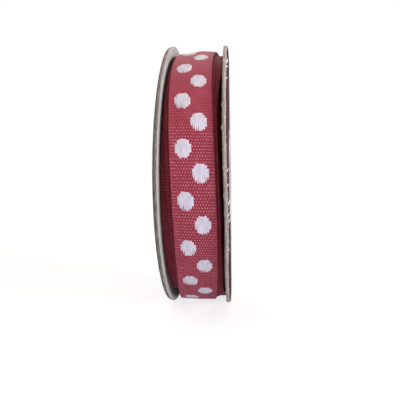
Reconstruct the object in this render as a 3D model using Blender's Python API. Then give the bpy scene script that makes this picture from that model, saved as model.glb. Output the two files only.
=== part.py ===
"""Spool of polka dot ribbon: two greyboard discs with the wound ribbon between them.

Metres, +Z up. The spool stands on the rims of its two discs, with its axis along X, and its
front is towards -Y. The origin is at the middle of the spool, on the surface it stands on.
An angle on the spool is measured about its axis: 0 at the front, 90 degrees at the top.
"""
import math

import bmesh
import bpy
import numpy as np
from mathutils import Matrix, Vector

MM = 0.001

# ---------------------------------------------------------------- driving sizes
DISC_RADIUS = 37.5 * MM
DISC_THICKNESS = 1.13 * MM
SPOOL_WIDTH = 16.7 * MM             # over the outer faces of the two discs, at the axis
HOLE_RADIUS = 8.0 * MM              # punched through the middle of each disc
RIM_ROUNDING = 0.12 * MM            # the crushed corner that a die leaves on board
FLAT_DEPTH = 0.17 * MM              # how far the board is worn flat where it stands
LEFT_LEAN = -0.010                  # radians that each disc is out of square with the axis
RIGHT_LEAN = -0.027

RIBBON_WIDTH = 10.0 * MM
ROLL_RADIUS = 36.2 * MM             # the outermost turn, at the front
ROLL_SAG = 0.75 * MM                # how far the loose turns hang below the discs' axis
ROLL_CROWN = 0.06 * MM              # the outermost turn bows out along its middle
TOP_HOLLOW = 0.7 * MM               # at the top, the outermost turn's left edge has sunk in
BORE_RADIUS = 8.4 * MM              # the innermost turn, clear of the holes in the discs
CLEARANCE = 0.3 * MM                # between the turns and the discs

# The sides of the roll fall back in steps, because its turns don't lie exactly above one
# another. Each row is a group of turns: how deep it lies below the outermost turn, how far its
# edge stands out from that turn's middle line, and how much farther that is at the top.
SIDE_STEPS = {
    # side       depth,       stands out,         more at the top
    "left": (
        (0.00 * MM, RIBBON_WIDTH / 2, 0.0 * MM),
        (0.50 * MM, 6.25 * MM, 0.4 * MM),
        (0.95 * MM, 8.00 * MM, 0.0 * MM),
    ),
    "right": (
        (0.00 * MM, RIBBON_WIDTH / 2, 0.0 * MM),
        (1.30 * MM, 6.30 * MM, -0.8 * MM),
        (3.60 * MM, 8.00 * MM, 0.0 * MM),
    ),
}
OUTERMOST_WANDER = 1.2 * MM         # the outermost turn crosses from right to left on its way up
OUTERMOST_MIDDLE = 0.1 * MM

AXIS_HEIGHT = DISC_RADIUS - FLAT_DEPTH
HALF_GAP = SPOOL_WIDTH / 2 - DISC_THICKNESS
# Puts the middle of the whole spool, with its leaning discs, on X = 0.
MIDDLE_SHIFT = (RIGHT_LEAN - LEFT_LEAN) * DISC_RADIUS / 2
ANGLE_STEPS = 144                   # divisions round the axis


# ---------------------------------------------------------------- shared shapes
def turned_solid(outlines):
    """Closed ring about the X axis, from one closed outline of (x, radius) at each angle."""
    steps, count = outlines.shape[:2]
    angle = np.arange(steps)[:, None] * 2 * math.pi / steps
    x, radius = outlines[:, :, 0], outlines[:, :, 1]
    points = np.stack([x, -radius * np.cos(angle), radius * np.sin(angle)], axis=2)
    mesh = bmesh.new()
    rings = [[mesh.verts.new(point) for point in ring] for ring in points]
    for here, there in zip(rings, rings[1:] + rings[:1]):
        for j in range(count):
            mesh.faces.new((here[j - 1], there[j - 1], there[j], here[j]))
    bmesh.ops.recalc_face_normals(mesh, faces=mesh.faces)
    return mesh


def add_object(name, mesh, material):
    """Put a bmesh in the scene as a smooth-shaded object of one material."""
    data = bpy.data.meshes.new(name)
    mesh.to_mesh(data)
    mesh.free()
    data.shade_smooth()
    data.set_sharp_from_angle(angle=math.radians(35))
    data.materials.append(material)
    bpy.context.collection.objects.link(bpy.data.objects.new(name, data))


def plain_material(name, colour, roughness):
    """Principled material of one linear colour, not metallic."""
    material = bpy.data.materials.new(name)
    material.use_nodes = True
    shader = material.node_tree.nodes["Principled BSDF"]
    shader.inputs["Base Color"].default_value = (*colour, 1.0)
    shader.inputs["Roughness"].default_value = roughness
    shader.inputs["Metallic"].default_value = 0.0
    return material


# ---------------------------------------------------------------- the two discs
def add_disc(name, side, lean, material):
    """Punched greyboard disc: softened rim, leaning a little, worn flat where it stands."""
    inner = side * HALF_GAP
    outer = side * (HALF_GAP + DISC_THICKNESS)
    soft = side * RIM_ROUNDING
    outline = np.array([
        (inner, HOLE_RADIUS),
        (inner, DISC_RADIUS - RIM_ROUNDING),
        (inner + soft, DISC_RADIUS),
        (outer - soft, DISC_RADIUS),
        (outer, DISC_RADIUS - RIM_ROUNDING),
        (outer, HOLE_RADIUS),
    ])
    mesh = turned_solid(np.repeat(outline[None], ANGLE_STEPS, axis=0))

    # The lean tips the disc about its own middle, so its top goes to the left.
    middle = Matrix.Translation(((inner + outer) / 2, 0, 0))
    tip = middle @ Matrix.Rotation(lean, 4, "Y") @ middle.inverted()
    mesh.transform(Matrix.Translation((MIDDLE_SHIFT, 0, AXIS_HEIGHT)) @ tip)

    # The flat spot is one plane face on the floor.
    cut = bmesh.ops.bisect_plane(
        mesh, geom=mesh.verts[:] + mesh.edges[:] + mesh.faces[:],
        plane_co=(0, 0, 0), plane_no=Vector((0, 0, -1)), clear_outer=True)
    flat_edges = [item for item in cut["geom_cut"] if isinstance(item, bmesh.types.BMEdge)]
    bmesh.ops.contextual_create(mesh, geom=flat_edges)
    bmesh.ops.recalc_face_normals(mesh, faces=mesh.faces)
    add_object(name, mesh, material)


# ---------------------------------------------------------------- the wound ribbon
def side_stairs(side, rise, middle, top):
    """One side of the roll's section, from the outermost turn down, as (x, radius) points."""
    sign = -1 if side == "left" else 1
    corners = [(middle + sign * (stand_out + more * rise), top - depth)
               for depth, stand_out, more in SIDE_STEPS[side]]
    points = corners[:1]
    for (edge, _), (next_edge, next_radius) in zip(corners, corners[1:]):
        points += [(edge, next_radius), (next_edge, next_radius)]
    return points + [(corners[-1][0], BORE_RADIUS)]


def roll_outline(angle):
    """Section of the wound ribbon at one angle: its outermost turn between two stepped sides."""
    rise = math.sin(angle)
    middle = OUTERMOST_MIDDLE - OUTERMOST_WANDER * rise
    top = ROLL_RADIUS - ROLL_SAG * rise
    hollow = TOP_HOLLOW * max(0.0, rise) ** 4
    left = side_stairs("left", rise, middle, top - hollow)
    right = side_stairs("right", rise, middle, top)
    crown = (middle, top - hollow / 3 + ROLL_CROWN)
    outline = left[::-1] + [crown] + right

    # No turn comes closer than the clearance to either leaning disc.
    clear = []
    for x, radius in outline:
        height = radius * rise
        lowest = -HALF_GAP + LEFT_LEAN * height + CLEARANCE
        highest = HALF_GAP + RIGHT_LEAN * height - CLEARANCE
        clear.append((min(max(x, lowest), highest), radius))
    return clear


def add_roll(name, material):
    """All the turns of the ribbon as one ring."""
    angles = np.arange(ANGLE_STEPS) * 2 * math.pi / ANGLE_STEPS
    mesh = turned_solid(np.array([roll_outline(angle) for angle in angles]))
    mesh.transform(Matrix.Translation((MIDDLE_SHIFT, 0, AXIS_HEIGHT)))
    add_object(name, mesh, material)


# ---------------------------------------------------------------- build
for thing in list(bpy.data.objects):
    bpy.data.objects.remove(thing)

greyboard = plain_material("greyboard", (0.33, 0.29, 0.27), 0.85)
printed_board = plain_material("printed_board", (0.42, 0.38, 0.36), 0.75)
wine_ribbon = plain_material("wine_ribbon", (0.27, 0.035, 0.055), 0.6)

add_disc("disc_left", -1, LEFT_LEAN, greyboard)
add_disc("disc_right", 1, RIGHT_LEAN, printed_board)
add_roll("ribbon_roll", wine_ribbon)
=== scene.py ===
import math

import bpy
import numpy as np
from mathutils import Matrix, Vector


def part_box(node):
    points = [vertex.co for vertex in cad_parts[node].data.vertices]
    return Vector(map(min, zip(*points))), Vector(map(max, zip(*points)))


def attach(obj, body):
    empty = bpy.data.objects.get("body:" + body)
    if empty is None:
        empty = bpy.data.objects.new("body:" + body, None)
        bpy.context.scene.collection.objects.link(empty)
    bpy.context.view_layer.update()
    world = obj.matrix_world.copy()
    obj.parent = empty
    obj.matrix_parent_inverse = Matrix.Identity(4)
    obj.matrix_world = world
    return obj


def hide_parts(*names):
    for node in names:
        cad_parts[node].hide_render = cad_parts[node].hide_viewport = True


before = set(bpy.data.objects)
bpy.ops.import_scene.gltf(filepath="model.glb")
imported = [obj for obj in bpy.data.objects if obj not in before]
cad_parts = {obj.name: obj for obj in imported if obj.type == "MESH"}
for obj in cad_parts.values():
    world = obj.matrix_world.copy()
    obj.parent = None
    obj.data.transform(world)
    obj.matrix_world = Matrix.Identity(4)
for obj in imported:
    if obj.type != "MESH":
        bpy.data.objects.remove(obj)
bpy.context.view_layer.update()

# ---------------------------------------------------------------- the view, light and table
# The spool stands on a pale table in broad even light, brighter from a window low on its right.
# The camera is close, at the height of the spool's middle, and just past the right disc.
MM = 0.001
TURN = 2 * math.pi


def linear(hex_colour):
    """Linear (r, g, b, 1) of an sRGB colour written as a hex string."""
    parts = [int(hex_colour[i:i + 2], 16) / 255 for i in (0, 2, 4)]
    return tuple(p / 12.92 if p <= 0.04045 else ((p + 0.055) / 1.055) ** 2.4 for p in parts) + (1,)


def add(tree, kind, *inputs, out=0, **settings):
    """Add a node with its settings; inputs are its sockets in order, None leaves one as it is.
    Gives back one of its outputs, from which .node leads to the others."""
    node = tree.nodes.new("ShaderNode" + kind)
    for name, value in settings.items():
        setattr(node, name, value)
    for socket, value in zip(node.inputs, inputs):
        if isinstance(value, bpy.types.NodeSocket):
            tree.links.new(value, socket)
        elif value is not None:
            socket.default_value = value
    return node.outputs[out]


def new_material(name):
    """A material, its node tree, and the shader in it."""
    material = bpy.data.materials.new(name)
    material.use_nodes = True
    return material, material.node_tree, material.node_tree.nodes["Principled BSDF"]


def grid_piece(name, points, material, wrap_rows=False, wrap_columns=False, marks=None, caps=False):
    """Object over a grid of points, rows by columns, with a quad between each four neighbours.

    wrap_rows and wrap_columns join the last row or column to the first. caps closes both ends
    of a tube. marks holds a vector for each point, such as its place on the flat cloth in
    millimetres, kept as an attribute of that name. Points with one more axis in front are
    several such grids in one object. Corners sharper than 50 degrees stay sharp.
    """
    rows, columns = points.shape[-3:-1]
    firsts = np.arange(0, points.size // 3, rows * columns)
    index = np.arange(rows * columns).reshape(rows, columns)
    if wrap_rows:
        index = np.vstack([index, index[:1]])
    if wrap_columns:
        index = np.hstack([index, index[:, :1]])
    quads = np.stack([index[:-1, :-1], index[:-1, 1:], index[1:, 1:], index[1:, :-1]], axis=-1)
    faces = (firsts[:, None, None] + quads.reshape(-1, 4)).reshape(-1, 4).tolist()
    if caps:
        ends = np.stack([index[0, :columns][::-1], index[-1, :columns]])
        faces += (firsts[:, None, None] + ends).reshape(-1, columns).tolist()
    data = bpy.data.meshes.new(name)
    data.from_pydata(points.reshape(-1, 3), [], faces)
    for mark, values in (marks or {}).items():
        attribute = data.attributes.new(mark, "FLOAT_VECTOR", "POINT")
        attribute.data.foreach_set("vector", values.reshape(-1).astype(np.float32))
    data.shade_smooth()
    data.set_sharp_from_angle(angle=math.radians(50))
    data.materials.append(material)
    piece = bpy.data.objects.new(name, data)
    bpy.context.collection.objects.link(piece)
    return piece


bpy.context.scene.view_settings.view_transform = "Standard"

left_low, left_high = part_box("disc_left")
right_low, right_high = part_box("disc_right")
DISC_RADIUS = (left_high.y - left_low.y) / 2
AXIS_HEIGHT = left_high.z - DISC_RADIUS

CAMERA_DISTANCE = 131.2 * MM        # in front of the spool's axis
CAMERA_ASIDE = 10.1 * MM            # to the right of the spool's middle
CAMERA_TURN = math.radians(4.86)    # to the left,
CAMERA_DIP = math.radians(3.24)     # downwards,
CAMERA_ROLL = math.radians(0.67)    # and about its own line of sight
camera_data = bpy.data.cameras.new("camera")
camera_data.sensor_width = 36.0
camera_data.lens = 38.6
camera_data.clip_start = 0.005
camera = bpy.data.objects.new("camera", camera_data)
camera.matrix_world = (
    Matrix.Translation((CAMERA_ASIDE, -CAMERA_DISTANCE, AXIS_HEIGHT))
    @ Matrix.Rotation(CAMERA_TURN, 4, "Z")
    @ Matrix.Rotation(math.pi / 2 - CAMERA_DIP, 4, "X")
    @ Matrix.Rotation(CAMERA_ROLL, 4, "Z"))
bpy.context.collection.objects.link(camera)
bpy.context.scene.camera = camera


def broad_light(name, aside, height, strength, spread, colour):
    """Even light from far off: degrees to the right of the front, degrees up, strength, and
    how many degrees broad it is."""
    lamp = bpy.data.lights.new(name, "SUN")
    lamp.energy = strength
    lamp.angle = math.radians(spread)
    lamp.color = linear(colour)[:3]
    light = bpy.data.objects.new(name, lamp)
    light.matrix_world = (Matrix.Rotation(math.radians(aside), 4, "Z")
                          @ Matrix.Rotation(math.radians(90 - height), 4, "X"))
    bpy.context.collection.objects.link(light)


# A low window on the right in two halves, a warm light overhead, and two weak ones behind that
# keep the back and the left disc's outer face from going dark.
broad_light("window, near half", 59, 4, 2.55, 30, "f6f6ff")
broad_light("window, far half", 75, 4, 4.5, 24, "f6f6ff")
broad_light("overhead", 0, 66, 0.72, 50, "ffe8cc")
broad_light("behind", 180, 60, 0.6, 50, "fff2e2")
broad_light("left, from behind", -110, 25, 0.8, 50, "f2f4f8")

# The room lights the spool only faintly. Seen directly or mirrored it is a white backdrop.
ROOM_STRENGTH = 0.06
BACKDROP_STRENGTH = 1.0
world = bpy.data.worlds.new("studio")
bpy.context.scene.world = world
world.use_nodes = True
sky = world.node_tree
sky.nodes.clear()
ray = add(sky, "LightPath").node.outputs
seen_or_mirrored = add(sky, "Math", ray["Is Camera Ray"], ray["Is Glossy Ray"], operation="MAXIMUM")
room = add(sky, "Background", linear("f2f4f8"), ROOM_STRENGTH)
backdrop = add(sky, "Background", linear("ffffff"), BACKDROP_STRENGTH)
either = add(sky, "MixShader", seen_or_mirrored, room, backdrop)
sky.links.new(either, sky.nodes.new("ShaderNodeOutputWorld").inputs["Surface"])

# The table gives the spool a soft bluish bounce and a painted glow of its own from below, and glows
# to near white where it is seen.
TABLE_RADIUS = 3.0
TABLE_TOP = -0.1 * MM               # just below the rims, so that no two faces coincide
TABLE_STEPS = 64
PAINTED_GLOW_UNSEEN, GLOW_SEEN = 0.20, 0.76
table_material, table_tree, table_shader = new_material("matt white melamine")
seen_table = add(table_tree, "LightPath")
table_colour = add(table_tree, "MixRGB", seen_table, linear("dcdff2"), linear("b4b4b6"))
table_tree.links.new(table_colour, table_shader.inputs["Base Color"])
table_glow = add(table_tree, "MapRange", seen_table, 0.0, 1.0, PAINTED_GLOW_UNSEEN, GLOW_SEEN)
table_tree.links.new(table_glow, table_shader.inputs["Emission Strength"])
table_shader.inputs["Emission Color"].default_value = linear("ffffff")
table_shader.inputs["Roughness"].default_value = 0.9
table_shader.inputs["Specular IOR Level"].default_value = 0.0
round_table = np.linspace(0, TURN, TABLE_STEPS, endpoint=False)
table_radii = np.array([0.001, 0.2, TABLE_RADIUS])[:, None]
table_points = np.stack(np.broadcast_arrays(
    table_radii * np.cos(round_table), table_radii * np.sin(round_table), TABLE_TOP), axis=-1)
grid_piece("table", table_points, table_material, wrap_columns=True)

# ---------------------------------------------------------------- the boards of the two discs
# Each disc is die-cut from 1 mm greyboard, which is plies of recycled grey pulp pressed
# together. The die crushes the corners of the rim and leaves its edge fibrous and torn.
DISC_THICKNESS = 1.13 * MM
PAPER = 0.08 * MM                   # the facing papers glued to both sides of the board
HOLE_RADIUS = 8.0 * MM
RIM_STEPS = 1080                    # round the rim, 0.2 mm each
RIM_SETBACK = 0.05 * MM             # how far inside the radius the middle of the cut edge is
RIM_ROUNDING = 0.14 * MM            # how much further its corners are
CRUSHED_BAND = 0.9 * MM             # how far in from the rim the die crushes a corner
LEFT_ROLL = 0.12 * MM               # how far it rolled each disc's inner corner outwards
RIGHT_ROLL = 0.08 * MM
RIGHT_OUTER_ROLL = 0.24 * MM        # how far it pressed the right disc's outer corner inwards
RIGHT_BEND = 0.40 * MM              # how far the right disc's rim is bent outwards at the front,
BEND_HEIGHT = -12 * MM              # most of all at this height above the axis,
BEND_SPREAD = 13 * MM               # and about so far above and below it
FIBRE_LIFT = 0.035 * MM             # how far single fibres stand out of the cut edge
PLY_LIFT = 0.03 * MM                # how far whole stretches of a ply do


class Disc:
    """Place of one disc: its side of the spool, and its lean, read from the width of its box.
    bend is how far the front of its rim is bent outwards."""

    def __init__(self, side, low, high, bend):
        self.side = side
        self.bend = bend
        self.lean = -math.asin((high.x - low.x - DISC_THICKNESS) / (2 * DISC_RADIUS))
        self.centre = (low.x + high.x) / 2

    def place(self, out, radius, angle):
        """Points of the disc: out is the distance from mid-thickness towards its outer face.

        The bend falls off as a bell curve in height and with the fourth power of the distance
        forward. x and z are turned by the lean about the disc's middle, and nothing goes below
        the table, which leaves the flat spot that the disc stands on.
        """
        y, z = -radius * np.cos(angle), radius * np.sin(angle)
        bent = np.exp(-((z - BEND_HEIGHT) / BEND_SPREAD) ** 2) * np.clip(-y / DISC_RADIUS, 0, 1) ** 4
        x = self.side * (out + self.bend * bent)
        turned_x = self.centre + x * math.cos(self.lean) + z * math.sin(self.lean)
        turned_z = AXIS_HEIGHT - x * math.sin(self.lean) + z * math.cos(self.lean)
        return np.stack(np.broadcast_arrays(turned_x, y, np.maximum(turned_z, 0)), axis=-1)

    def plane(self, out, height):
        """X of the plane at that distance out, at a height above the axis."""
        return self.centre + self.side * out + height * math.tan(self.lean)


left_disc = Disc(-1, left_low, left_high, 0)
right_disc = Disc(1, right_low, right_high, RIGHT_BEND)


def rough(rows, columns, reach, seed):
    """Smooth random values of unit spread, closed round the rows: noise averaged with
    neighbours as many times as reach says."""
    values = np.random.default_rng(seed).standard_normal((rows, columns))
    for _ in range(reach):
        values = (np.roll(values, 1, axis=0) + 2 * values + np.roll(values, -1, axis=0)) / 4
    return values / values.std()


def fit(piece, node):
    """Put a piece on the spool's one body, in place of a solid, and hide that solid."""
    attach(piece, "root")
    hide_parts(node)


PLIES_PER_MM = 1.9                  # pulp plies show as streaks, stretched to 2.4 mm along
PLY_STRETCH = (0.22, 2.4, 0.0)      # the rim, 0.2 mm thick, and the same all the way in
CLUMPS_PER_MM = 1.6                 # fibre clumps of 0.6 mm
SPECKS_PER_MM = 5.5                 # dark fibres of 0.2 mm
PAINTED_LIGHT_FROM, PAINTED_LIGHT_TO = 46 * MM, 62 * MM     # heights between which painted light brightens the rim towards the top


def board_material(name, dark, light, streaks, painted_top_light):
    """Greyboard: matt recycled pulp, mottled at the size of its fibre clumps, with plies that
    run round the rim as streaks, by the share that streaks says. The last argument is how far
    the mottle fades to the light colour towards the top: painted light from above. Reads the
    place on the board in millimetres."""
    material, tree, shader = new_material(name)
    place = add(tree, "Attribute", attribute_name="board_mm", out=1)
    along_plies = add(tree, "Mapping", place, None, None, PLY_STRETCH)
    plies = add(tree, "TexNoise", along_plies, None, PLIES_PER_MM, 4.0, 0.6)
    clumps = add(tree, "TexNoise", place, None, CLUMPS_PER_MM, 5.0, 0.7)
    specks = add(tree, "TexNoise", place, None, SPECKS_PER_MM, 2.0, 0.5)
    mottle = add(tree, "Mix", streaks, None, clumps, plies, data_type="FLOAT")
    spread = add(tree, "MapRange", mottle, 0.36, 0.66, 0.0, 1.0)
    body = add(tree, "MixRGB", spread, linear(dark), linear(light))
    height = add(tree, "SeparateXYZ", add(tree, "TexCoord", out=3), out=2)
    # Painted light: the rim is drawn lighter towards the top, where the light from above falls on
    # it.
    painted_top_light_share = add(tree, "MapRange", height, PAINTED_LIGHT_FROM, PAINTED_LIGHT_TO, 0.0, painted_top_light)
    body = add(tree, "MixRGB", painted_top_light_share, body, linear(light))
    dark_specks = add(tree, "MapRange", specks, 0.30, 0.42, 0.55, 1.0)
    colour = add(tree, "MixRGB", 1.0, body, dark_specks, blend_type="MULTIPLY")
    tree.links.new(colour, shader.inputs["Base Color"])
    relief = add(tree, "Bump", 0.6, 0.06 * MM, None, mottle)
    tree.links.new(relief, shader.inputs["Normal"])
    shader.inputs["Roughness"].default_value = 0.92
    shader.inputs["Specular IOR Level"].default_value = 0.25
    return material


def crushed(radius, depth):
    """How far a crushed corner has moved at a radius: depth at the rim, falling to nothing
    over the crushed band as a rounded curve."""
    return depth * np.clip((radius - DISC_RADIUS) / CRUSHED_BAND + 1, 0, 1) ** 2.2


def disc_board(name, disc, material, roll, outer_roll, tear, bevel, seed):
    """Board of a disc as a closed loop section carried round the axis.

    Each face is a few rings of points, close together where the corner is crushed by roll,
    or by outer_roll. The rim is a flattened arc: its radius falls off with the fourth power
    towards both corners, and evenly towards the outer one by twice the bevel. Rough noise
    lifts the rim's fibres, and tear pushes its inner corner in and out along the board.
    """
    face = np.array([HOLE_RADIUS, 18 * MM, 30 * MM, 36.4 * MM, 36.8 * MM, 37.1 * MM])
    half = DISC_THICKNESS / 2 - PAPER
    angle = np.linspace(0, TURN, RIM_STEPS, endpoint=False)[:, None]
    across = np.linspace(-1, 1, 15)
    rim_radius = DISC_RADIUS - RIM_SETBACK - RIM_ROUNDING * across ** 4 - bevel * (across + 1)
    inner = -half + crushed(face, roll)
    outer = half - crushed(face[::-1], outer_roll)
    rim = np.linspace(-half + crushed(rim_radius[:1], roll)[0],
                      half - crushed(rim_radius[-1:], outer_roll)[0], across.size)
    radius = np.concatenate([face, rim_radius, face[::-1]])
    out = np.concatenate([inner, rim, outer])
    fibre = rough(RIM_STEPS, radius.size, 1, seed) * FIBRE_LIFT
    ply = rough(RIM_STEPS, radius.size, 40, seed + 1) * PLY_LIFT
    on_face = np.zeros(face.size)
    on_rim = np.concatenate([on_face, np.ones(across.size), on_face])
    radius = radius + (fibre + ply) * on_rim
    ragged = np.abs(rough(RIM_STEPS, 1, 6, seed + 2)) * tear - tear * 0.6
    inner_corner = np.concatenate([on_face, np.clip(-across * 3 - 2, 0, 1), on_face])
    out = out - ragged * inner_corner
    radius = np.minimum(radius, DISC_RADIUS)
    marks = np.stack(np.broadcast_arrays(angle * DISC_RADIUS / MM, out / MM, radius / MM), axis=-1)
    points = disc.place(out, radius, angle)
    if disc.side < 0:
        points, marks = points[:, ::-1], marks[:, ::-1]
    return grid_piece(name, points, material, wrap_rows=True, wrap_columns=True,
                      marks={"board_mm": marks})


left_board_material = board_material("greyboard, shaded ply edge", "6a635d", "beb6ae", 0.75, 0.8)
right_board_material = board_material("greyboard, pale torn edge", "8f867c", "cbc3b8", 0.35, 0.7)
left_board = disc_board("left_board", left_disc, left_board_material, LEFT_ROLL, 0,
                        tear=0.04 * MM, bevel=0.25 * MM, seed=11)
right_board = disc_board("right_board", right_disc, right_board_material, RIGHT_ROLL,
                         RIGHT_OUTER_ROLL, tear=0.13 * MM, bevel=0.05 * MM, seed=23)
fit(left_board, "disc_left")
fit(right_board, "disc_right")

# ---------------------------------------------------------------- the papers on the discs
# Thin paper is glued over each face of the boards before they are cut: bare grey lining inside
# and on the left disc, and on the right disc's outer face a pale paper printed in wine ink.
GLUED_IN = 0.004 * MM               # how far a paper reaches into its board
EDGE_SETBACK = 0.13 * MM            # how far its edge ends inside the rim
EDGE_WANDER = 0.03 * MM
EDGE_SHARES = np.array([0.0, 0.4, 0.8, 0.962, 0.976, 0.988, 1.0])     # from the hole to the edge
CLOUDS_PER_MM = 0.26                # the paper's cloudy formation, 4 mm
GRAIN_PER_MM = 2.4                  # its tooth, drawn at 0.4 mm so that it shows
SCUFFS_PER_MM = 1.1                 # specks of ink lost at the rim, 0.9 mm
FIELD_BACK = -4.0 * MM              # the print: a field over the front, ending behind the middle
HUB_RADIUS = 14.0 * MM              # a bare hub,
RING_RADIUS = 12.3 * MM             # one thin ring on it,
RING_HALF_WIDTH = 0.35 * MM
BORDER_RADIUS = 35.6 * MM           # and a border round the rim,
UNWORN_EDGE, WORN_EDGE = 37.6 * MM, 36.6 * MM       # which ends between these radii


def paper_material(name, colour, shade, ink=None):
    """Thin uncoated paper: faint cloudy formation and a fine tooth, with hardly any gloss. The
    ink is printed as a field over the front half, a border, and a thin ring on the hub, and is
    worn away in specks at the rim. Reads the place on the paper in millimetres: forward, up,
    and from the middle."""
    material, tree, shader = new_material(name)
    place = add(tree, "Attribute", attribute_name="paper_mm", out=1)
    cloud = add(tree, "TexNoise", place, None, CLOUDS_PER_MM, 4.0, 0.6)
    tone = add(tree, "MapRange", cloud, 0.3, 0.7, 0.0, 1.0)
    body = add(tree, "MixRGB", tone, linear(shade), linear(colour))
    if ink:
        forward, _, radius = add(tree, "SeparateXYZ", place).node.outputs
        worn = add(tree, "TexNoise", place, None, SCUFFS_PER_MM, 4.0, 0.7)
        ink_edge = add(tree, "MapRange", worn, 0.50, 0.72, UNWORN_EDGE / MM, WORN_EDGE / MM)
        on_front = add(tree, "Math", forward, FIELD_BACK / MM, operation="GREATER_THAN")
        off_hub = add(tree, "Math", radius, HUB_RADIUS / MM, operation="GREATER_THAN")
        field = add(tree, "Math", on_front, off_hub, operation="MULTIPLY")
        border = add(tree, "Math", radius, BORDER_RADIUS / MM, operation="GREATER_THAN")
        unworn = add(tree, "Math", radius, ink_edge, operation="LESS_THAN")
        ring = add(tree, "Math", radius, RING_RADIUS / MM, RING_HALF_WIDTH / MM, operation="COMPARE")
        printed = add(tree, "Math", field, border, operation="MAXIMUM")
        printed = add(tree, "Math", printed, unworn, operation="MULTIPLY")
        printed = add(tree, "Math", printed, ring, operation="MAXIMUM")
        body = add(tree, "MixRGB", printed, body, linear(ink))
    tree.links.new(body, shader.inputs["Base Color"])
    grain = add(tree, "TexNoise", place, None, GRAIN_PER_MM, 2.0, 0.5)
    relief = add(tree, "Bump", 0.25, 0.02 * MM, None, grain)
    tree.links.new(relief, shader.inputs["Normal"])
    shader.inputs["Roughness"].default_value = 0.8
    shader.inputs["Specular IOR Level"].default_value = 0.04
    return material


def disc_paper(name, disc, facing, material, roll, bevel, seed):
    """Facing paper as a thin closed ring. facing is 1 on the disc's outer face and -1 on its
    inner one. The edge wanders a little inside the board's rim, further in where that is
    bevelled, and the paper follows the board's crushed corner."""
    inside = facing * (DISC_THICKNESS / 2 - PAPER - GLUED_IN)
    outside = facing * DISC_THICKNESS / 2
    steps = RIM_STEPS // 2
    angle = np.linspace(0, TURN, steps, endpoint=False)[:, None]
    edge = DISC_RADIUS - EDGE_SETBACK - 2 * bevel + rough(steps, 1, 2, seed) * EDGE_WANDER
    edge = np.minimum(edge, DISC_RADIUS)
    shares = np.concatenate([EDGE_SHARES, EDGE_SHARES[::-1]])
    radius = HOLE_RADIUS + (edge - HOLE_RADIUS) * shares
    out = np.repeat([inside, outside], EDGE_SHARES.size) - facing * crushed(radius, roll)
    points = disc.place(out, radius, angle)
    marks = np.stack(np.broadcast_arrays(
        radius * np.cos(angle) / MM, radius * np.sin(angle) / MM, radius / MM), axis=-1)
    if disc.side * facing < 0:
        points, marks = points[:, ::-1], marks[:, ::-1]
    return grid_piece(name, points, material, wrap_rows=True, wrap_columns=True,
                      marks={"paper_mm": marks})


lining = paper_material("bare grey board lining", "a09b94", "918c85")
printed_paper = paper_material("pale grey paper with wine ink", "bab6b1", "b0aca7", ink="371a1f")
left_inner_paper = disc_paper("left_inner_paper", left_disc, -1, lining, LEFT_ROLL, 0, 31)
left_outer_paper = disc_paper("left_outer_paper", left_disc, 1, lining, 0, 0.25 * MM, 32)
right_inner_paper = disc_paper("right_inner_paper", right_disc, -1, lining, RIGHT_ROLL, 0, 33)
right_outer_paper = disc_paper("right_outer_paper", right_disc, 1, printed_paper,
                               RIGHT_OUTER_ROLL, 0.05 * MM, 34)

# Where the die tore the right disc's outer paper, slivers of it stand off the rim's outer
# corner: the angle in degrees; in millimetres, the length along the rim and how far the
# free end lifts; and its slant across the corner.
FLAKES = np.array([
    (49.0, 1.6, 0.30, 0.5), (45.0, 0.8, 0.25, -0.4), (38.0, 0.5, 0.15, 0.3), (2.0, 0.7, 0.25, 0.4),
    (-3.0, 0.6, 0.20, -0.4), (-9.0, 1.3, 0.40, 0.6), (-13.0, 1.0, 0.35, -0.7),
    (-15.5, 0.9, 0.30, 0.6), (-27.0, 0.5, 0.15, -0.3), (-41.0, 0.4, 0.20, 0.3),
    (140.0, 1.0, 0.30, 0.5), (171.0, 0.8, 0.25, -0.5), (218.0, 1.2, 0.35, 0.4)])
FLAKE_HALF_WIDTH = 0.22 * MM
FLAKE_HALF_THICKNESS = 0.03 * MM
FLAKE_SETBACK = 0.28 * MM           # from the rim to a flake's middle
FLAKE_SLANT = 0.45 * MM             # across the corner, for a slant of 1 in the table


def torn_flakes():
    """Flakes as thin strips with a flat loop for a section. Along a strip from 0 to 1 the angle
    and the place across the corner change evenly, the lift grows as the power 1.6, and the
    width narrows to a point."""
    angle, length, lift, slant = (column[:, None, None] for column in FLAKES.T)
    along = np.linspace(0, 1, 9)[None, :, None]
    loop = np.array([(-1, -1), (0, -1), (1, -1), (1, 1), (0, 1), (-1, 1)])
    side, face = loop[:, 0][None, None], loop[:, 1][None, None]
    width = FLAKE_HALF_WIDTH * (1 - 0.85 * along ** 2)
    radius = DISC_RADIUS - FLAKE_SETBACK + slant * FLAKE_SLANT * (along - 0.5) + side * width
    off_paper = lift * MM * along ** 1.6 + FLAKE_HALF_THICKNESS * (face - 1)
    out = DISC_THICKNESS / 2 - crushed(radius, RIGHT_OUTER_ROLL) + off_paper
    turn = np.radians(angle) + (along - 0.5) * length * MM / DISC_RADIUS + 0 * side
    points = right_disc.place(out, radius, turn)
    marks = np.stack(np.broadcast_arrays(
        radius * np.cos(turn) / MM, radius * np.sin(turn) / MM, out / MM), axis=-1)
    return grid_piece("torn_flakes", points, paper_material("torn white paper", "efebe8", "e0dad6"),
                      wrap_columns=True, caps=True, marks={"paper_mm": marks})


right_flakes = torn_flakes()
for paper in (left_inner_paper, left_outer_paper):
    fit(paper, "disc_left")
for paper in (right_inner_paper, right_outer_paper, right_flakes):
    fit(paper, "disc_right")

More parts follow.
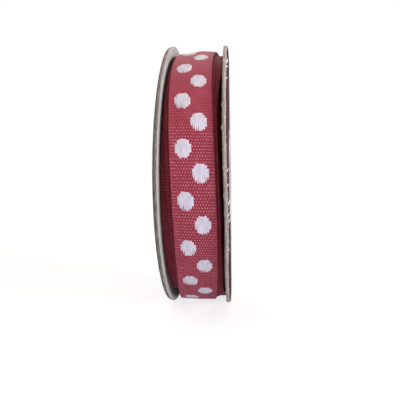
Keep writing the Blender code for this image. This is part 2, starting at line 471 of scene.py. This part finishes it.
# ---------------------------------------------------------------- the outer turns of the ribbon
# Ten-millimetre polyester ribbon, woven with a grosgrain edge and small raised white dots.
# It is wound by machine without a guide, so each turn lies a little to one side of the last.
RIBBON_WIDTH = 10.15 * MM           # over its rounded selvedges
RIBBON_THICKNESS = 0.34 * MM
TURN_PITCH = 0.36 * MM              # one thickness and the air between turns
ROLL_RADIUS = 36.2 * MM
ROLL_DROP = 0.10 * MM               # how far the roll's middle sits below the discs' axis
ROLL_SAG = 0.45 * MM                # how much further its top and bottom hang, being slack
ROLL_ASIDE = 0.01 * MM              # how far it lies to the right of midway between the discs
CROWN = 0.18 * MM                   # how far the edges of each turn curl in towards the core
END_ANGLE = math.radians(210)       # the cut end lies flat on the back of the roll
OUTER_LAP = math.radians(40)        # the outermost turn as a piece of its own starts under the
UNDER_LAP = math.radians(40.3)      # roll, and the turns below it stop just short of there
UNDER_TURNS = 10

# How far each turn lies to the right of the outermost one, from that turn in, in millimetres,
# where the turn is at these angles: under the roll, in front, and over the top.
KEY_ANGLES = np.radians([-90, -60, -15, 25, 45, 60, 85])
TURN_OFFSETS = np.array([
    (0.0, 0.0, 0.0, 0.0, 0.0, 0.1, 0.25), (0.3, 0.1, 0.2, 0.3, 0.2, 0.3, 0.5),
    (1.2, 0.7, 0.8, 0.95, 0.8, 0.7, 0.6), (4.5, 1.5, 0.6, 1.0, 2.2, 3.0, 3.3),
    (-0.6, -0.5, -1.4, -1.3, -0.9, -0.7, -0.8), (0.0, 0.1, 0.0, 0.0, 0.9, 2.0, 2.8),
    (0.0, 0.0, -0.4, -0.2, 0.5, 1.8, 3.0), (-2.0, -2.6, -3.3, -2.7, -2.2, -1.9, -1.9),
    (3.3, 3.0, 1.0, 0.9, 1.2, 2.2, 3.3), (-0.8, -1.4, -1.5, -1.2, -0.8, 0.0, 0.4),
    (0.9, 0.9, 0.7, 0.8, 0.9, 1.0, 1.2), (0.0, 0.0, 0.0, 0.0, 0.0, 0.0, 0.0)]) * MM
OFFSET_BLUR = math.radians(40)      # the ribbon is too stiff on edge to turn aside faster
WANDER = 1.21 * MM                  # how far the whole roll weaves to either side, twice round
WANDER_START = math.radians(14.5)   # where it crosses its middle


def smooth_step(low, high, value):
    """0 below low, 1 above high, and an s-curve between."""
    t = np.clip((value - low) / (high - low), 0, 1)
    return t * t * (3 - 2 * t)


def turn_middle(angle):
    """X of the ribbon's middle at an unwound angle: the wander of the whole roll, plus the
    turn's own offset. The curve between the key angles is straight lines averaged over the
    blur."""
    turns = np.arange(len(TURN_OFFSETS))[:, None]
    keys = KEY_ANGLES[None] - TURN * turns
    fine = np.linspace(keys.min() - 1, keys.max() + 3, 6000)
    straight = np.interp(fine, keys[::-1].ravel(), TURN_OFFSETS[::-1].ravel())
    width = int(OFFSET_BLUR / (fine[1] - fine[0]))
    kernel = np.hanning(width) / np.hanning(width).sum()
    curve = np.convolve(np.pad(straight, width // 2, mode="edge"), kernel, mode="same")
    curve = curve[width // 2:width // 2 + fine.size]
    roll_middle = (left_disc.centre + right_disc.centre) / 2 + ROLL_ASIDE
    wander = -WANDER * np.sin(2 * (angle - WANDER_START))
    return roll_middle + wander + np.interp(angle, fine, curve)


SLIP_ANGLE = math.radians(70)       # the turns have slipped inwards most at this angle,
SLIP_SPREAD = math.radians(27)      # and about so far to either side of it
RAMP_DEPTH = 0.35 * MM              # their left half goes down a smooth ramp,
RAMP_FROM, RAMP_TO = -0.2 * MM, 2.9 * MM            # so far left of the middle,
SLOPE_DEPTH = 0.30 * MM             # and on down an even slope,
SLOPE_FROM, SLOPE_OVER = 2.4 * MM, 4 * MM           # from here, over this width
DROOP_DEPTH = 0.08 * MM             # their right edge droops a little,
DROOP_FROM, DROOP_TO = 1.5 * MM, 5.0 * MM           # so far right of the middle


def settled(x, angle):
    """How far the turns have sunk towards the axis at x. The roll drops evenly and sags with
    the seventh power of the height. Over the front of the top its left half has slipped
    inwards, down a smooth ramp and a slope, and its right edge droops."""
    rise = np.sin(angle)
    aside = np.mod(angle - SLIP_ANGLE + math.pi, TURN) - math.pi
    around = np.exp(-(aside / SLIP_SPREAD) ** 2)
    ramp = RAMP_DEPTH * smooth_step(RAMP_FROM, RAMP_TO, -x)
    slope = SLOPE_DEPTH * np.clip((-SLOPE_FROM - x) / SLOPE_OVER, 0, 1)
    droop = DROOP_DEPTH * smooth_step(DROOP_FROM, DROOP_TO, x)
    return ROLL_DROP * rise + ROLL_SAG * rise ** 7 + (ramp + slope + droop) * around


SIDE_CLEARANCE = 0.05 * MM          # air that every turn keeps to the discs' papers


def ribbon_strip(name, first_angle, last_angle, row_length, top_columns, relief, material,
                 dots_up=True):
    """Ribbon wound from one unwound angle to another, as a closed section along a spiral.

    The spiral's radius grows by one pitch a turn. The section is a flat loop with rounded
    selvedges; relief(u, v) is added to its upper side, where u runs across the ribbon and v
    along it, in metres. dots_up says whether the dots of the weave show on that side.
    """
    rows = int((last_angle - first_angle) * ROLL_RADIUS / row_length)
    angle = np.linspace(first_angle, last_angle, rows)[:, None]
    half_width, half_thick = RIBBON_WIDTH / 2, RIBBON_THICKNESS / 2
    upper = np.linspace(-1, 1, top_columns)
    lower = np.linspace(1, -1, 7)
    bulge = 0.45 * half_thick
    u = np.concatenate([upper * (half_width - bulge), [half_width], lower * (half_width - bulge),
                        [-half_width]])[None]
    level = np.concatenate([np.ones(upper.size), [0.0], -np.ones(lower.size), [0.0]])[None]
    v = angle * ROLL_RADIUS
    clear = DISC_THICKNESS / 2 + PAPER + SIDE_CLEARANCE
    middle = turn_middle(angle)
    height = ROLL_RADIUS * np.sin(angle)
    middle = np.maximum(middle, left_disc.plane(-clear, height) + half_width)
    middle = np.minimum(middle, right_disc.plane(-clear, height) - half_width)
    x = middle + u
    radius = ROLL_RADIUS + TURN_PITCH * angle / TURN + level * half_thick
    radius = radius - settled(x, angle) - CROWN * (u / half_width) ** 2
    radius = radius + np.where(level > 0, relief(u, v), 0)
    points = np.stack(np.broadcast_arrays(
        x, -radius * np.cos(angle), AXIS_HEIGHT + radius * np.sin(angle)), axis=-1)
    side = level if dots_up else -np.ones_like(level)
    marks = np.stack(np.broadcast_arrays(u / MM, v / MM, side), axis=-1)
    return grid_piece(name, points, material, wrap_columns=True, caps=True,
                      marks={"cloth_mm": marks})


RIB_PITCH = 0.73 * MM               # from one weft rib to the next, along the ribbon
RIB_HEIGHT = 0.022 * MM
WARP_PITCH = 0.62 * MM              # from one column of points to the next, coarse enough to show
WEAVE_ASIDE = 0.05 * MM             # the woven middle lies this far right of the ribbon's own
EDGE_FROM, EDGE_TO = 3.4 * MM, 3.7 * MM             # from the middle to the plain ribbed edges
EVENED_SHARE = 0.8                 # how far the weave's painted shade and highlights are evened out over the front of the top, as light from above evens them
EVENED_FROM = (8 * MM, 19 * MM)    # along the ribbon, the stretch where that sets in,
EVENED_TO = (55 * MM, 75 * MM)     # and the one where it ends
DOT_ACROSS = 3.68 * MM
DOT_ALONG = 4.7 * MM
DOT_HEIGHT = 0.05 * MM
DOT_ASIDE = 1.85 * MM               # each column of dots stands this far from the middle
DOT_REPEAT = 11.85 * MM
LEFT_DOT_START = 6.04 * MM
RIGHT_DOT_START = 0.45 * MM
DOT_THREADS = 8
WAVER_PER_MM = 0.8                  # the threads waver over about a millimetre
PATCHES_PER_MM = 0.35               # the dye is uneven in patches of 3 mm
FLECKS_PER_MM = 2.2                 # and in flecks of 0.5 mm
STREAKS_PER_MM = 1.3                # streaks on the white threads: stretched along them,
STREAK_STRETCH = (2.1, 0.35, 1.0)   # 0.4 mm wide and 2 mm long


def dot_cover(u, v):
    """1 on the dots and 0 between: ovals in two staggered columns."""
    right = u > 0
    start = np.where(right, RIGHT_DOT_START, LEFT_DOT_START)
    turns = (v - start) / DOT_REPEAT
    across = (np.abs(u) - DOT_ASIDE) / (DOT_ACROSS / 2)
    along = (turns - np.round(turns)) * DOT_REPEAT / (DOT_ALONG / 2)
    return smooth_step(0.0, 0.25, 1 - across ** 2 - along ** 2)


def woven_relief(u, v):
    """Ribs across the ribbon as a cosine along it, and the dots' long threads over them."""
    ribs = RIB_HEIGHT * np.cos(TURN * v / RIB_PITCH)
    dots = dot_cover(u, v)
    return ribs * (1 - dots) + DOT_HEIGHT * dots


def plain_relief(u, v):
    """No relief: of a turn that lies under another only the edges show, with ribs as bump."""
    return 0 * u * v


def ribbon_material(name, valley_shade, ground, light, thread_white, thread_shade, thread_end, gloss):
    """Woven polyester: weft ribs with points of light where the warp crosses them, and dots of
    eight long white threads each, uneven where they dive under. The first three colours run
    from between the ribs, over them, to their points: the weave's dye with painted shade in the
    valleys and painted highlights on the points. gloss is the specular level. Reads the place on
    the flat ribbon in millimetres."""
    material, tree, shader = new_material(name)

    # The place on the ribbon, with threads that waver a little from the straight.
    place = add(tree, "Attribute", attribute_name="cloth_mm", out=1)
    waver = add(tree, "TexNoise", place, None, WAVER_PER_MM, 2.0, 0.5, out=1)
    waver = add(tree, "VectorMath", waver, (-0.5, -0.5, -0.5), operation="ADD")
    waver = add(tree, "VectorMath", waver, (0.25, 0.18, 0.0), operation="MULTIPLY")
    wavered = add(tree, "VectorMath", place, waver, operation="ADD")
    u, v, side = add(tree, "SeparateXYZ", wavered).node.outputs

    # The ribs: a cosine along the ribbon, from 0 between two ribs to 1 on top of one.
    row = add(tree, "Math", v, RIB_PITCH / MM, operation="DIVIDE")
    rib = add(tree, "Math", row, TURN, operation="MULTIPLY")
    rib = add(tree, "Math", rib, operation="COSINE")
    rib = add(tree, "Math", rib, 0.5, 0.5, operation="MULTIPLY_ADD")

    # The points: columns across the ribbon, moved half a pitch on every other rib like bricks.
    odd = add(tree, "Math", row, 0.5, operation="ADD")
    odd = add(tree, "Math", odd, operation="FLOOR")
    odd = add(tree, "Math", odd, 2.0, operation="MODULO")
    column = add(tree, "Math", u, WARP_PITCH / MM, operation="DIVIDE")
    column = add(tree, "Math", odd, 0.5, column, operation="MULTIPLY_ADD")
    warp = add(tree, "Math", column, TURN, operation="MULTIPLY")
    warp = add(tree, "Math", warp, operation="COSINE")
    warp = add(tree, "Math", warp, 0.5, 0.5, operation="MULTIPLY_ADD")
    point = add(tree, "Math", rib, 0.7, 0.3, operation="MULTIPLY_ADD")
    point = add(tree, "Math", point, warp, operation="MULTIPLY")
    point = add(tree, "Math", point, 1.7, operation="POWER")

    # The two plain edges, and the stretch over the front of the top where the weave's tone and bump
    # are evened out, as painted light: the light from above evens out its ribs there.
    edge = add(tree, "Math", u, -WEAVE_ASIDE / MM, operation="ADD")
    edge = add(tree, "Math", edge, operation="ABSOLUTE")
    edge = add(tree, "MapRange", edge, EDGE_FROM / MM, EDGE_TO / MM, 0.0, 1.0)
    plain_rib = add(tree, "Math", rib, 0.45, 0.10, operation="MULTIPLY_ADD")
    weave = add(tree, "Mix", edge, None, point, plain_rib, data_type="FLOAT")
    rising = add(tree, "MapRange", v, EVENED_FROM[0] / MM, EVENED_FROM[1] / MM, 0.0, EVENED_SHARE)
    falling = add(tree, "MapRange", v, EVENED_TO[0] / MM, EVENED_TO[1] / MM, EVENED_SHARE, 0.0)
    evened = add(tree, "Math", rising, falling, operation="MINIMUM")
    weave = add(tree, "Mix", evened, None, weave, 0.26, data_type="FLOAT")

    # The nearest dot of the column on this side, and the place along and across it.
    on_right = add(tree, "Math", u, 0.0, operation="GREATER_THAN")
    start = add(tree, "Math", on_right, (RIGHT_DOT_START - LEFT_DOT_START) / MM,
                LEFT_DOT_START / MM, operation="MULTIPLY_ADD")
    turns = add(tree, "Math", v, start, operation="SUBTRACT")
    turns = add(tree, "Math", turns, DOT_REPEAT / MM, operation="DIVIDE")
    number = add(tree, "Math", turns, operation="ROUND")
    along = add(tree, "Math", turns, number, operation="SUBTRACT")
    along = add(tree, "Math", along, DOT_REPEAT / MM, operation="MULTIPLY")
    across = add(tree, "Math", u, operation="ABSOLUTE")
    across = add(tree, "Math", across, DOT_ASIDE / MM, operation="SUBTRACT")

    # The thread within the dot, the distance from its middle, and three chances of its own.
    thread_pitch = DOT_ACROSS / MM / DOT_THREADS
    thread = add(tree, "Math", across, thread_pitch, operation="DIVIDE")
    thread = add(tree, "Math", thread, operation="FLOOR")
    thread = add(tree, "Math", thread, 0.5, operation="ADD")
    from_thread = add(tree, "Math", thread, thread_pitch, operation="MULTIPLY")
    from_thread = add(tree, "Math", across, from_thread, operation="SUBTRACT")
    from_thread = add(tree, "Math", from_thread, operation="ABSOLUTE")
    seed = add(tree, "CombineXYZ", thread, number, on_right)
    chance = add(tree, "TexWhiteNoise", seed, out=1)
    top_chance, bottom_chance, slit_chance = add(tree, "SeparateColor", chance).node.outputs

    # How far the thread reaches to either side: an oval in whole ribs, less its own chances.
    off_middle = add(tree, "Math", thread, operation="ABSOLUTE")
    oval = add(tree, "Math", off_middle, DOT_THREADS / 2 + 0.1, operation="DIVIDE")
    oval = add(tree, "Math", oval, 2.4, operation="POWER")
    oval = add(tree, "Math", 1.0, oval, operation="SUBTRACT")
    oval = add(tree, "Math", oval, 0.6, operation="POWER")
    reach = add(tree, "Math", oval, DOT_ALONG / RIB_PITCH, operation="MULTIPLY")
    reach = add(tree, "Math", reach, operation="FLOOR")
    reach = add(tree, "Math", reach, 0.30, operation="ADD")
    reach = add(tree, "Math", reach, RIB_PITCH / 2 / MM, operation="MULTIPLY")
    top = add(tree, "Math", top_chance, -0.22, reach, operation="MULTIPLY_ADD")
    bottom = add(tree, "Math", bottom_chance, -0.30, reach, operation="MULTIPLY_ADD")
    below = add(tree, "Math", along, bottom, operation="ADD")
    above = add(tree, "Math", top, along, operation="SUBTRACT")
    to_end = add(tree, "Math", below, above, operation="MINIMUM")

    # The dot's cover: its threads narrow towards their lower ends, so that slits open there.
    slit = add(tree, "Math", slit_chance, 2.5, operation="POWER")
    slit = add(tree, "Math", slit, reach, operation="MULTIPLY")
    slit = add(tree, "Math", slit, 0.15, operation="ADD")
    half_thread = add(tree, "MapRange", below, 0.0, slit, 0.10, 0.26)
    body = add(tree, "Math", half_thread, from_thread, operation="SUBTRACT")
    body = add(tree, "Math", body, 0.0, operation="GREATER_THAN")
    long_enough = add(tree, "Math", to_end, 0.0, operation="GREATER_THAN")
    inside = add(tree, "Math", off_middle, DOT_THREADS / 2, operation="LESS_THAN")
    upper_side = add(tree, "Math", side, -0.5, operation="GREATER_THAN")
    dot = add(tree, "Math", body, long_enough, operation="MULTIPLY")
    dot = add(tree, "Math", dot, inside, operation="MULTIPLY")
    dot = add(tree, "Math", dot, upper_side, operation="MULTIPLY")

    # The dye: the weave's tone, with broad patches and flecks, the flecks fading over the front of
    # the top along with the painted shade and highlights.
    patches = add(tree, "TexNoise", place, None, PATCHES_PER_MM, 3.0, 0.6)
    patches = add(tree, "MapRange", patches, 0.3, 0.7, -0.10, 0.10)
    flecks = add(tree, "TexNoise", place, None, FLECKS_PER_MM, 2.0, 0.5)
    flecks = add(tree, "MapRange", flecks, 0.3, 0.7, -0.16, 0.16)
    unevened = add(tree, "Math", 1.0, evened, operation="SUBTRACT")
    flecks = add(tree, "Math", flecks, unevened, operation="MULTIPLY")
    tone = add(tree, "Math", patches, flecks, operation="ADD")
    tone = add(tree, "Math", weave, tone, operation="ADD")
    # The colour ramp: painted shade between the ribs, the dye on them, and painted highlights at the
    # points.
    dye = add(tree, "ValToRGB", tone)
    stops = dye.node.color_ramp.elements
    stops[0].position, stops[0].color = 0.05, linear(valley_shade)
    stops[1].position, stops[1].color = 0.95, linear(light)
    stops.new(0.45).color = linear(ground)

    # The white threads: streaks along them, a groove between two, and dye showing at the ends.
    streak_place = add(tree, "Mapping", place, None, None, STREAK_STRETCH)
    streak = add(tree, "TexNoise", streak_place, None, STREAKS_PER_MM, 3.0, 0.6)
    streak = add(tree, "MapRange", streak, 0.35, 0.65, 0.0, 1.0)
    groove = add(tree, "MapRange", from_thread, 0.12, 0.24, 0.0, 0.5)
    shade = add(tree, "Math", streak, groove, operation="MAXIMUM")
    white = add(tree, "MixRGB", shade, linear(thread_white), linear(thread_shade))
    end = add(tree, "MapRange", to_end, 0.0, 0.55, 0.65, 0.0)
    white = add(tree, "MixRGB", end, white, linear(thread_end))
    colour = add(tree, "MixRGB", dot, dye, white)
    tree.links.new(colour, shader.inputs["Base Color"])

    ridge = add(tree, "MapRange", from_thread, 0.0, 0.24, 1.6, 1.0)
    height = add(tree, "Mix", dot, None, weave, ridge, data_type="FLOAT")
    relief = add(tree, "Bump", 0.8, 0.05 * MM, None, height)
    tree.links.new(relief, shader.inputs["Normal"])
    shader.inputs["Roughness"].default_value = 0.55
    shader.inputs["Specular IOR Level"].default_value = gloss
    return material


woven = ribbon_material("woven polyester ribbon", "922f40", "ac4758", "d08b93",
                        "e8e2ec", "cec8d5", "eed3d8", 0.25)
outer_turn = ribbon_strip("outer_turn", END_ANGLE - TURN - OUTER_LAP, END_ANGLE,
                          0.19 * MM, 48, woven_relief, woven)

# Only the edges of the turns below show. Their cloth has its dye darkened as painted shade,
# for the shade the turns cast on each other, and it hardly shines.
woven_painted_shade = ribbon_material("woven polyester ribbon, painted shade for turns below", "7a2832", "923947",
                              "a05662", "e8e2ec", "cec8d5", "eed3d8", 0.05)
under_turns = ribbon_strip("under_turns", END_ANGLE - (UNDER_TURNS + 1) * TURN,
                           END_ANGLE - TURN - UNDER_LAP, 0.80 * MM, 9, plain_relief, woven_painted_shade,
                           dots_up=False)

fit(outer_turn, "ribbon_roll")
fit(under_turns, "ribbon_roll")

# ---------------------------------------------------------------- the inner turns of the ribbon
# The rest of the ribbon, down to the innermost turn, is one ring of stacked turns, each a
# little out of line with the next. Little of it shows, between the discs and through their
# holes, and it has no tube inside.
CORE_RADIUS = 8.4 * MM
CORE_STEPS = 144
CORE_ASIDE = 1.9 * MM               # how far a turn may lie to either side,
CORE_STAGGER = 0.25 * MM            # and wander on its way round
CORE_LEAN = -0.033                  # the stack leans as the space between the discs does
CORE_CLEARANCE = 0.1 * MM
core_top = ROLL_RADIUS - (UNDER_TURNS + 0.45) * TURN_PITCH - RIBBON_THICKNESS
core_turns = int((core_top - CORE_RADIUS) / TURN_PITCH)
turn_radii = core_top - TURN_PITCH * np.arange(core_turns + 1)
core_angle = np.linspace(0, TURN, CORE_STEPS, endpoint=False)[:, None]
stagger = rough(CORE_STEPS, core_turns, 30, 51) * CORE_STAGGER
place_aside = np.random.default_rng(52).uniform(-CORE_ASIDE, CORE_ASIDE, core_turns) + stagger
rise = turn_radii[:-1] * np.sin(core_angle)
core_middle = (left_disc.centre + right_disc.centre) / 2 + CORE_LEAN * rise + place_aside
core_clear = DISC_THICKNESS / 2 + PAPER + CORE_CLEARANCE
left_edge = np.maximum(core_middle - RIBBON_WIDTH / 2, left_disc.plane(-core_clear, rise))
right_edge = np.minimum(core_middle + RIBBON_WIDTH / 2, right_disc.plane(-core_clear, rise))

# The section runs out along the left edges and back along the right ones, with a step from
# turn to turn. The ring sags with the cube of the radius.
core_x = np.concatenate([np.repeat(left_edge, 2, axis=1)[:, ::-1],
                         np.repeat(right_edge, 2, axis=1)], axis=1)
step_radii = np.repeat(turn_radii, 2)[1:-1]
step_radii = np.concatenate([step_radii[::-1], step_radii])[None]
core_r = step_radii - ROLL_SAG * np.sin(core_angle) * (step_radii / ROLL_RADIUS) ** 3
core_points = np.stack([core_x, -core_r * np.cos(core_angle),
                        AXIS_HEIGHT + core_r * np.sin(core_angle)], axis=-1)
core_marks = np.stack([core_x / MM, core_angle * core_r / MM, np.ones_like(core_x)], axis=-1)
# The inner turns wear the cloth with painted shade too.
inner_turns = grid_piece("inner_turns", core_points, woven_painted_shade, wrap_rows=True, wrap_columns=True,
                         marks={"cloth_mm": core_marks})
fit(inner_turns, "ribbon_roll")
